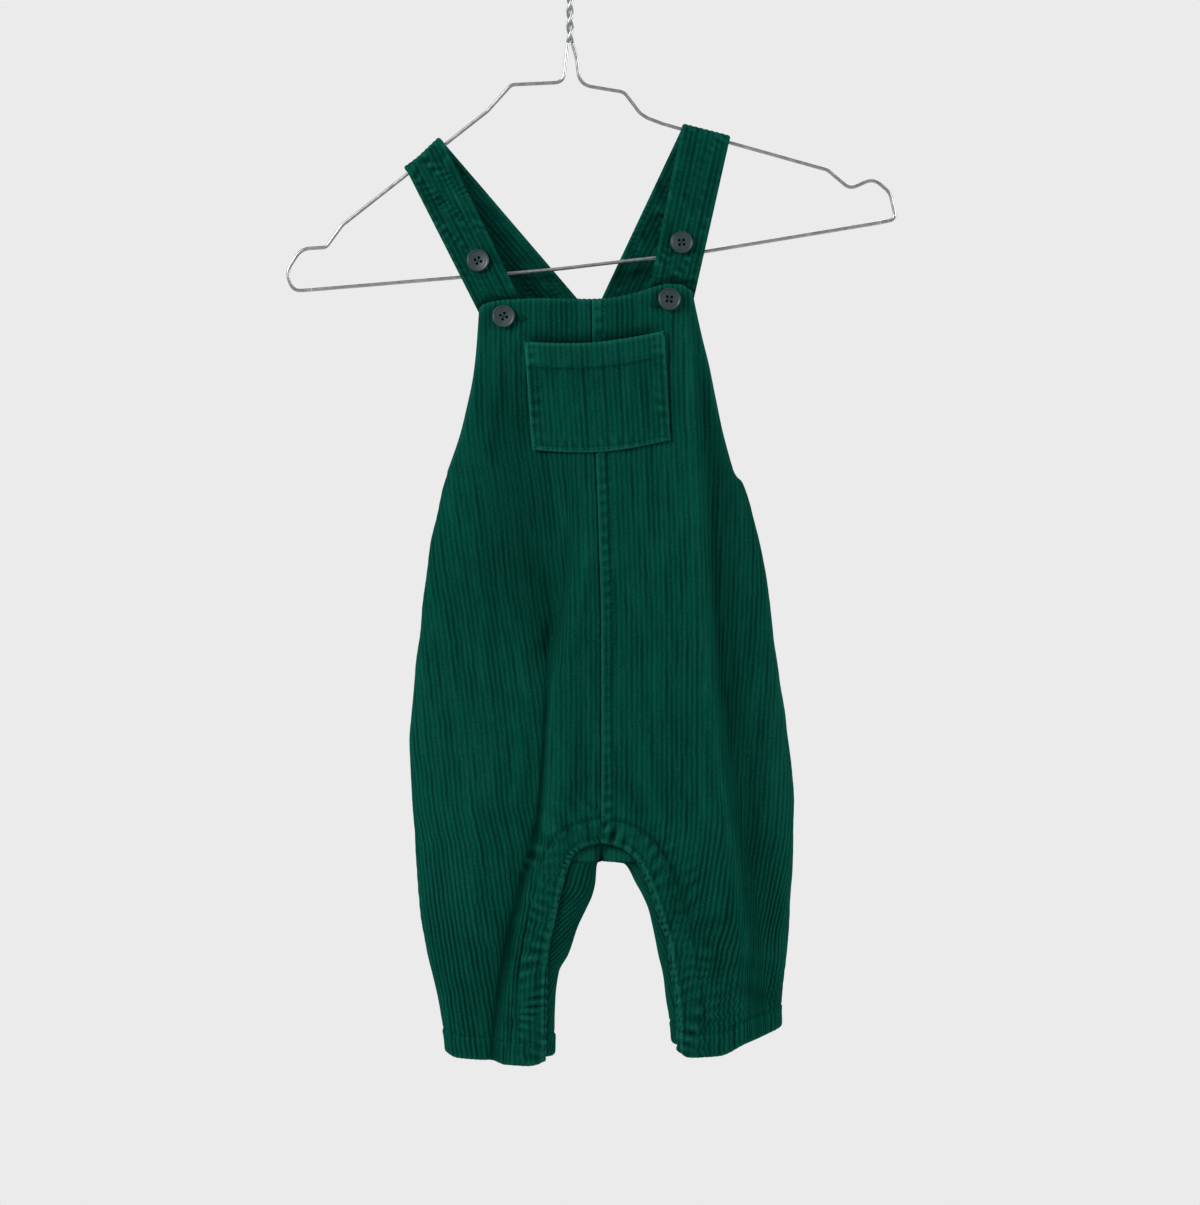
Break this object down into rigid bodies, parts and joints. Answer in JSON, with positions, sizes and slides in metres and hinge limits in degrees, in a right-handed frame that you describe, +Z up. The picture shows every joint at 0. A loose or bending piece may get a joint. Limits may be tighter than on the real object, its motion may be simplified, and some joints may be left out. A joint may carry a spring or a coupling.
{
  "type": "bib overalls on a wire hanger",
  "caption": "Small child's wide-wale corduroy bib overalls with a chest pocket and buttoned shoulder straps, hanging flat from a bent-wire hanger.",
  "frame": {"origin": "underside of the hook's crown, where a rail or peg carries the hanger", "axes": "+Z up, -Y the way the garment's front faces, +X the wearer's left"},
  "size_m": [0.4104, 0.0653, 0.7924],
  "materials": {
    "corduroy": "wide-wale pile, dark bottle green",
    "buttons": "slate grey-green resin, low sheen",
    "wire": "galvanised drawn wire"
  },
  "bodies": {
    "root": {"front_right": "corduroy", "front_left": "corduroy", "back_right": "corduroy", "back_left": "corduroy", "chest_pocket": "corduroy", "crotch_band": "corduroy", "strap_right": "corduroy", "strap_left": "corduroy", "button_bib_right": "buttons", "button_bib_left": "buttons", "button_strap_right": "buttons", "button_strap_left": "buttons", "hanger_hook": "wire", "hanger_twist": "wire", "hanger_arm_right": "wire", "hanger_arm_left": "wire", "hanger_bar": "wire"}
  },
  "joints": []
}
